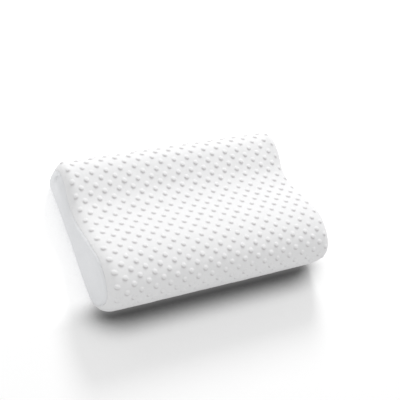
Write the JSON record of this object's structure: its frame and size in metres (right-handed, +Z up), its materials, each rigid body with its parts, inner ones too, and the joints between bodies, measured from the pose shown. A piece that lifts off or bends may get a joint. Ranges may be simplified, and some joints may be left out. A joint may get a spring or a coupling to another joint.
{
  "type": "contour bed pillow",
  "caption": "Waved memory-foam bed pillow with a tall and a low lobe, in a zipped white cover of raised-bubble knit with smooth end panels.",
  "frame": {"origin": "centre of the flat base, on the surface that the pillow lies on, under the middle of the core", "axes": "+X along the pillow's length, -Y towards the tall front lobe, +Y towards the low back lobe and its zip, +Z up"},
  "size_m": [0.5106, 0.3099, 0.113],
  "materials": {
    "bubble_knit": "matte",
    "plain_knit": "matte",
    "liner_knit": "matte",
    "memory_foam": "matte",
    "thread": "matte",
    "zip_tape": "matte",
    "zip_coil": "satin",
    "zip_metal": "satin",
    "label_satin": "satin"
  },
  "bodies": {
    "pillow": {"cover_top_wrap": "bubble_knit", "cover_bottom_panel": "plain_knit", "cover_left_end_panel": "plain_knit", "cover_right_end_panel": "plain_knit", "liner_sleeve": "liner_knit", "liner_left_end": "liner_knit", "liner_right_end": "liner_knit", "foam_core": "memory_foam", "seam_bead_left_end": "thread", "seam_bead_right_end": "thread", "seam_bead_bottom_front": "thread", "zip_tape_upper": "zip_tape", "zip_tape_lower": "zip_tape", "zip_coil_upper": "zip_coil", "zip_coil_lower": "zip_coil", "zip_top_stop_upper": "zip_metal", "zip_top_stop_lower": "zip_metal", "zip_bottom_stop": "zip_metal", "zip_topstitch_upper": "thread", "zip_topstitch_lower": "thread"},
    "zip_slider": {"zip_slider_body": "zip_metal"},
    "zip_pull": {"zip_pull_tab": "zip_metal"},
    "label": {"care_label": "label_satin"}
  },
  "joints": [
    {"name": "zip_slide", "type": "slide", "parent": "pillow", "child": "zip_slider", "axis": [1, 0, 0], "range_m": [-0.4, 0]},
    {"name": "pull_tab_flip", "type": "hinge", "parent": "zip_slider", "child": "zip_pull", "pos_m": [0.1995, 0.15515, 0.032], "axis": [0, 0, -1], "range_deg": [0, 180]},
    {"name": "label_flap", "type": "hinge", "parent": "pillow", "child": "label", "pos_m": [0.24563, 0.13933, 0.031], "axis": [0, 0, 1], "range_deg": [-35, 35]}
  ]
}
